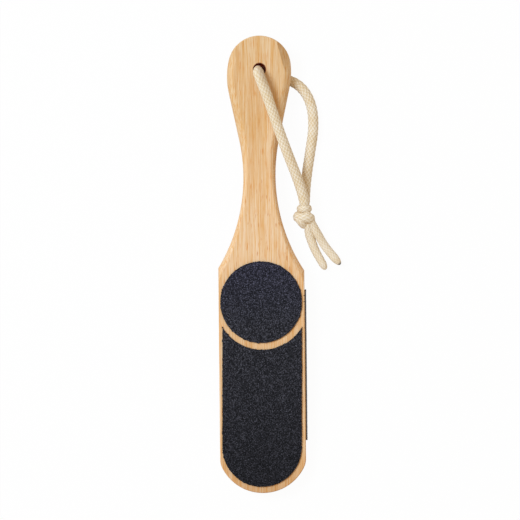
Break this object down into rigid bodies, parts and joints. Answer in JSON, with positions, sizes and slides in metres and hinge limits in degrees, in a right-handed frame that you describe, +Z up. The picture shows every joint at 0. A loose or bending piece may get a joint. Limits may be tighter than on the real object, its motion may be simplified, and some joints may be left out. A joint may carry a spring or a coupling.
{
  "type": "foot file",
  "caption": "Flat wooden foot file with glued black abrasive pads on both faces, an abrasive edge strip and a knotted cotton hanging cord that swings in the handle's hole.",
  "frame": {"origin": "on the surface that the file lies on, under the middle of its length and width", "axes": "+Y along the board towards the handle end, +X to the right of the front face, +Z up out of the front face; the board is tipped 1.3 degrees about X, because its handle lies on the cord"},
  "size_m": [0.0627, 0.2301, 0.021],
  "materials": {
    "board_wood": "fine straight-grained pale hardwood, sanded smooth, unlacquered",
    "black_abrasive": "coated abrasive, charcoal grit on a dark backing, matt with fine sparkle",
    "adhesive_film": "thin double-sided adhesive film",
    "cotton_cord": "round braided unbleached cotton cord"
  },
  "bodies": {
    "board": {"wooden_board": "board_wood", "front_round_pad": "black_abrasive", "front_long_pad": "black_abrasive", "rear_round_pad": "black_abrasive", "rear_long_pad": "black_abrasive", "edge_strip": "black_abrasive", "front_round_adhesive": "adhesive_film", "front_long_adhesive": "adhesive_film", "rear_round_adhesive": "adhesive_film", "rear_long_adhesive": "adhesive_film", "edge_strip_adhesive": "adhesive_film"},
    "hang_cord": {"cord_front_strand": "cotton_cord", "cord_rear_strand": "cotton_cord", "cord_knot": "cotton_cord", "cord_tail_left": "cotton_cord", "cord_tail_right": "cotton_cord"}
  },
  "joints": [
    {"name": "cord_swing", "type": "hinge", "parent": "board", "child": "hang_cord", "pos_m": [0, 0.09779, 0.0096], "axis": [0, 0, 1], "range_deg": [0, 240]}
  ]
}
